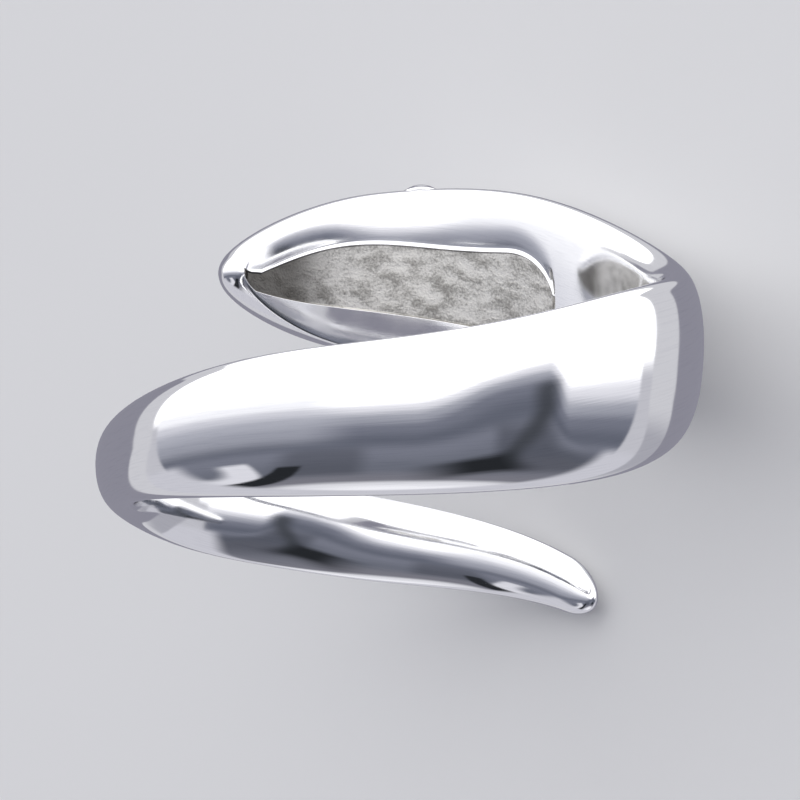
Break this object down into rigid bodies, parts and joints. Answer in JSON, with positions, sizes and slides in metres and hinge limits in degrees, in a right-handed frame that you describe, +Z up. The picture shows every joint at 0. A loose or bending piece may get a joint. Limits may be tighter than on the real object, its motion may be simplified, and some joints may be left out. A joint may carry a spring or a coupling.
{
  "type": "bird ring",
  "caption": "Cast wrap ring: a thick bird's head with a pointed beak at one end, a narrow rounded tail at the other, the two lapping past each other beyond the finger.",
  "frame": {"origin": "middle of the part's box, on the surface it lies on", "axes": "+Z up as the ring rests on the back of its head and the tip of its tail, +X along the finger towards the head, -Y and upwards towards the plain band"},
  "size_m": [0.0166, 0.0232, 0.0222],
  "materials": {
    "silver": "polished"
  },
  "bodies": {
    "root": {"ring": "silver"}
  },
  "joints": []
}
